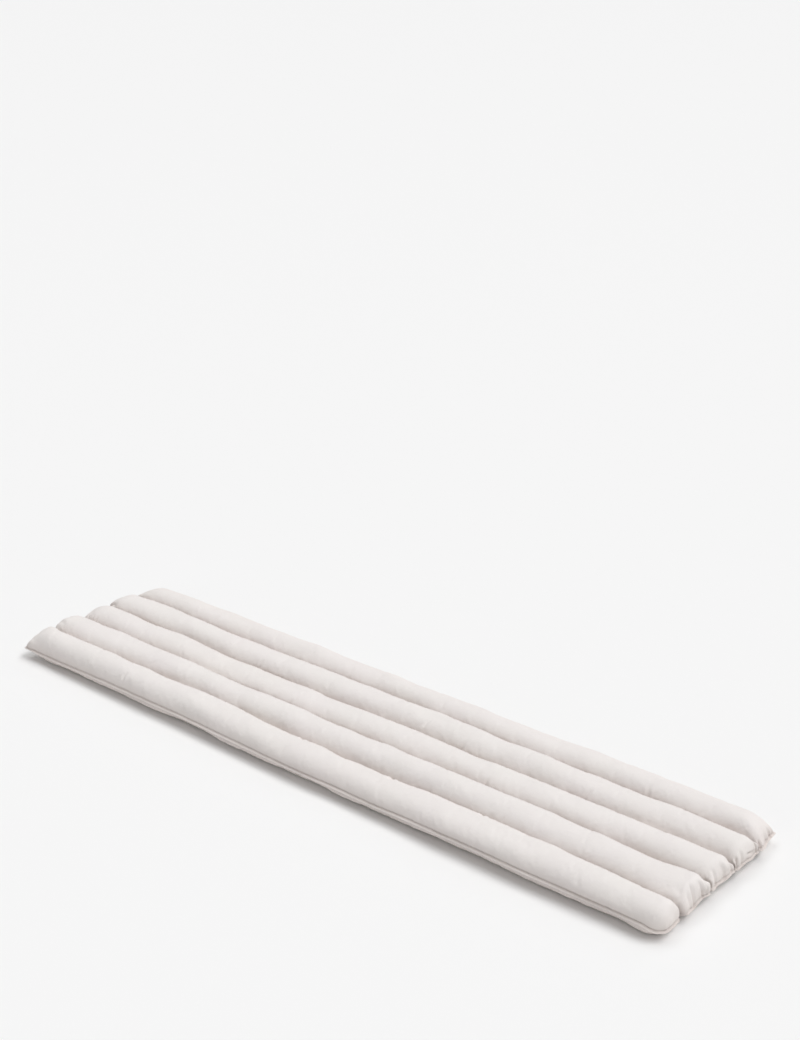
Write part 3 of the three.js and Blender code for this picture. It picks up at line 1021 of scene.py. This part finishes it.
def cloth_material():
    """Plain-woven off-white cloth: single threads, soft crinkles, and painted shade in the sewn
    lines.
    """
    material, tree, shader = new_material("off_white_cloth")
    place = attribute(tree, "cloth_place", "Vector")
    along, across = part_of(place, "X"), part_of(place, "Y")
    warp, weft = across * (1 / WARP_APART), along * (1 / WEFT_APART)
    warp_off, weft_off = warp % 1, weft % 1
    warp_round, weft_round = 4 * warp_off * (1 - warp_off), 4 * weft_off * (1 - weft_off)
    warp_number, weft_number = warp - warp_off, weft - weft_off
    weft_over = (warp_number + weft_number) % 2
    warp_high = warp_round * (0.5 + 0.5 * weft_round)
    weft_high = weft_round * (0.5 + 0.5 * warp_round)
    weave = warp_high * (1 - weft_over) + weft_high * weft_over
    shades = thread_shades(warp_number, along, 0.0) * (1 - weft_over)
    shades = shades + thread_shades(weft_number, across, 5.0) * weft_over

    large, small, fine = (cloudy(place, SPOTS[size]) for size in ("large", "small", "fine"))
    to_line, to_edge = attribute(tree, "from_line", "Fac"), attribute(tree, "from_edge", "Fac")
    painted_line_shade = fading(to_line, TONE_REACH["line"])
    rubbed_and_lit = fading(to_edge, TONE_REACH["rubbed_and_lit"])
    # Painted shade darkens the fold above the edge seam, but not the lip of the seam itself.
    above_lip = 1 - fading(to_edge, TONE_REACH["fold_starts"])
    near_seam = fading(to_edge, TONE_REACH["fold_ends"]) * above_lip ** 3
    painted_fold_shade = fading(to_line, TONE_REACH["fold"]) * near_seam

    # Painted shade greys the tone near the sewn lines and the ends. The lip of the edge seam is
    # lighter, as rubbed cloth and as a painted highlight.
    pale_tone = 0.95 - 0.58 * painted_line_shade + rubbed_and_lit * (0.30 + 0.40 * small)
    pale_tone = pale_tone + 0.16 * (large - 0.5) + 0.10 * (small - 0.5) + 0.20 * (shades - 0.5)
    pale_tone = pale_tone - 0.16 * (1 - weave)
    tone = blended(CLOTH_TONES["dark_tone"], CLOTH_TONES["pale_tone"], pale_tone)
    # Painted shade in the fold above the edge seam.
    tone = blended(tone, CLOTH_TONES["fold"], 1.8 * painted_fold_shade)
    # Painted shade deep in the pits at the ends of the sewn lines.
    tone = blended(tone, CLOTH_TONES["pit"], attribute(tree, "painted_pit_shade", "Fac"))
    tint = blended(CLOTH_TONES["pink"], CLOTH_TONES["green"], cloudy(place, SPOTS["tint"]))
    # The cloth is a little warmer and darker low down.
    level = part_of(place.node("ShaderNodeTexCoord", {}, {}, "Object"), "Z") * (1 / WARMER_TONE_HEIGHT)
    warmer_low_down = blended(CLOTH_TONES["low"], CLOTH_TONES["high"], level)
    colour = multiplied(multiplied(tone, tint), warmer_low_down)

    rough = 0.84 + 0.10 * small + 0.05 * (1 - weave) - 0.08 * rubbed_and_lit
    crinkles = cloudy(place, SPOTS["crinkle"], 3.0)
    height = WEAVE_DEEP * weave + CRINKLES_DEEP * crinkles + FINE_DEEP * fine
    finish_with(tree, shader, colour, rough, height)
    shader.inputs["Sheen Weight"].default_value = 0.10
    shader.inputs["Sheen Roughness"].default_value = 0.45
    shader.inputs["Specular IOR Level"].default_value = 0.20
    return material


def thread_material():
    """Twisted sewing thread, a little glossier than the cloth."""
    material, tree, shader = new_material("off_white_thread")
    place = Socket(tree).node("ShaderNodeTexCoord", {}, {}, "Object")
    twist = part_of(place, "X") * (1 / TWIST_LONG) + part_of(place, "Y") * (1 / TWIST_WIDE)
    twist = twist % 1
    ply = 4 * twist * (1 - twist)
    light = 0.35 + 0.35 * ply + 0.3 * cloudy(place, SPOTS["thread"])
    colour = blended(THREAD_TONES["dark"], THREAD_TONES["light"], light)
    finish_with(tree, shader, colour, 0.55 + 0.2 * (1 - ply), TWIST_DEEP * ply)
    return material


def floor_material():
    """Plain pale paint."""
    material, _, shader = new_material("floor_paint")
    shader.inputs["Base Color"].default_value = FLOOR_COLOUR
    shader.inputs["Roughness"].default_value = 1.0
    return material


def build_cushion():
    """The channels and their stitching, each with its finish and its place in the frame."""
    cloth, thread = cloth_material(), thread_material()
    channels, lines = build_channels()
    for piece in channels:
        piece.data.materials.append(cloth)
        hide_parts("cushion")
    stitching = [
        build_stitching("channel_stitching_top", lines, 1),
        build_stitching("channel_stitching_under", lines, -1),
    ]
    for piece in stitching:
        piece.data.materials.append(thread)
    for piece in channels + stitching:
        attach(piece, "root")


# Soft light: how strong each lamp is, how far it leans from overhead, and which way it stands.
LAMPS = {
    "lamp_behind": dict(strength=0.17, lean=27, turn=0),
    "lamp_far_behind": dict(strength=0.12, lean=53, turn=0),
    "lamp_right": dict(strength=0.79, lean=35, turn=-90),
    "lamp_behind_right": dict(strength=0.91, lean=30, turn=-45),
    "lamp_behind_left": dict(strength=0.25, lean=30, turn=45),
    "lamp_left": dict(strength=0.28, lean=30, turn=90),
    "lamp_front": dict(strength=0.16, lean=75, turn=180),
}
# How wide each lamp looks, in degrees, and how strong and what colour the light from all round is.
LAMP_SPREAD = 25
ROOM_LIGHT, ROOM_COLOUR = 0.34, (1, 1, 1, 1)
FLOOR_REACH, FLOOR_COLOUR = 60.0, (0.9, 0.9, 0.9, 1)

# The camera stands where it sees the cushion as the photo does. Its frame is 1040 pixels high, and
# one metre at a distance of one metre is 1575.9 of them. Its sensor is 36 mm.
CAMERA_PLACE = (2.27846, -2.72406, 2.1714)
CAMERA_TURN, CAMERA_DOWN = 38.306, 23.462
CAMERA_LENS = 36 * 1575.9 / 1040


def build_studio():
    """The floor, the lamps and the light of the room."""
    scene = bpy.context.scene
    corners = [(-1, -1, 0), (1, -1, 0), (1, 1, 0), (-1, 1, 0)]
    floor = make_mesh("floor", FLOOR_REACH * np.array(corners), np.array([[0, 1, 2, 3]]))
    floor.data.materials.append(floor_material())
    for name, row in LAMPS.items():
        lamp = bpy.data.objects.new(name, bpy.data.lights.new(name, "SUN"))
        lamp.data.energy = row["strength"]
        lamp.data.angle = math.radians(LAMP_SPREAD)
        lamp.rotation_euler = (math.radians(-row["lean"]), 0, math.radians(row["turn"]))
        scene.collection.objects.link(lamp)
    room = bpy.data.worlds.new("studio")
    room.use_nodes = True
    background = room.node_tree.nodes["Background"]
    background.inputs["Strength"].default_value = ROOM_LIGHT
    background.inputs["Color"].default_value = ROOM_COLOUR
    scene.world = room
    scene.view_settings.view_transform = "Standard"


def build_camera():
    camera = bpy.data.objects.new("camera", bpy.data.cameras.new("camera"))
    bpy.context.scene.collection.objects.link(camera)
    camera.data.lens = CAMERA_LENS
    camera.location = CAMERA_PLACE
    camera.rotation_euler = (math.radians(90 - CAMERA_DOWN), 0, math.radians(CAMERA_TURN))
    bpy.context.scene.camera = camera


build_camera()
build_cushion()
build_studio()
